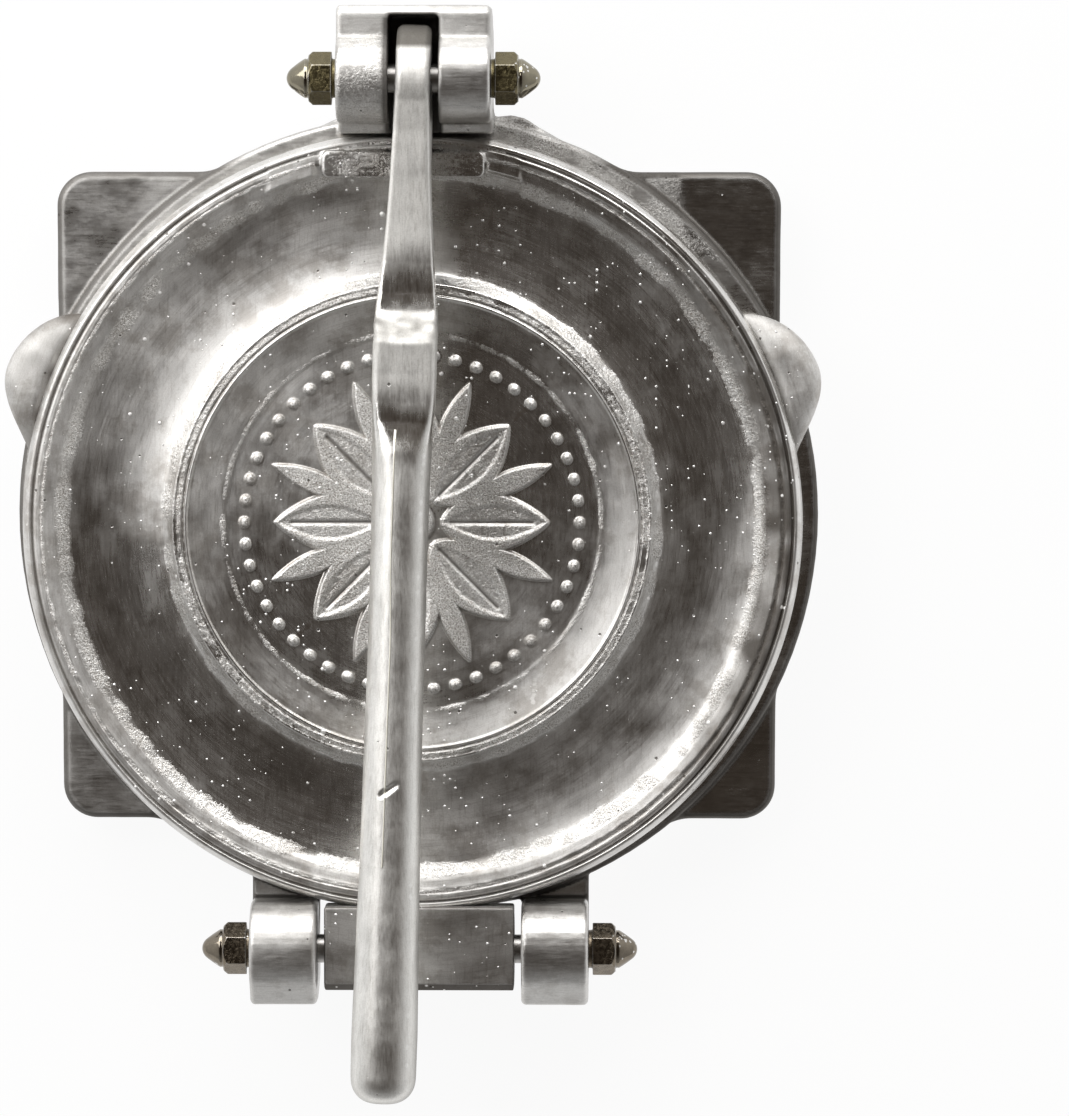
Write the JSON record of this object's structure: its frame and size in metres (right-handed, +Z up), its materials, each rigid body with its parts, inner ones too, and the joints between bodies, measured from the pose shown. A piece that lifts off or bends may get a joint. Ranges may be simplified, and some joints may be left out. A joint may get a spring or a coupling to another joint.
{
  "type": "tortilla press",
  "caption": "Hinged cast tortilla press: round plates close under a long hand lever whose cam nose bears on the upper plate's rim.",
  "frame": {"origin": "middle of the press on the surface that its feet stand on", "axes": "+Y along the length, from the plate hinge towards the lever's bracket; +Z up, out of the plate's top face; +X to the right with the bracket at the far end"},
  "size_m": [0.2271, 0.2984, 0.0794],
  "materials": {
    "base_metal": "sand cast, ground and tumbled to a satin grey",
    "plate_metal": "sand cast and buffed, with pits left in the hollows",
    "lever_metal": "sand cast, ground flats with brush lines, buffed handle",
    "rod_steel": "plain turned",
    "lever_nut_metal": "dull aged olive brass",
    "hinge_nut_metal": "dark aged, polished dome"
  },
  "bodies": {
    "base": {"base_casting": "base_metal", "lever_pivot_rod": "rod_steel", "hinge_rod": "rod_steel", "lever_nut_left": "lever_nut_metal", "lever_nut_right": "lever_nut_metal", "hinge_nut_left": "hinge_nut_metal", "hinge_nut_right": "hinge_nut_metal"},
    "plate": {"top_plate": "plate_metal"},
    "lever": {"lever": "lever_metal"}
  },
  "joints": [
    {"name": "lever_pivot", "type": "hinge", "parent": "base", "child": "lever", "pos_m": [0.001, 0.1292, 0.046], "axis": [-1, 0, 0], "range_deg": [0, 130]},
    {"name": "plate_hinge", "type": "hinge", "parent": "base", "child": "plate", "pos_m": [0.0019, -0.112, 0.0235], "axis": [1, 0, 0], "range_deg": [0, 105]}
  ],
  "couplings": [
    {"joint": "plate_hinge", "follows": "lever_pivot", "ratio": 0.1}
  ]
}
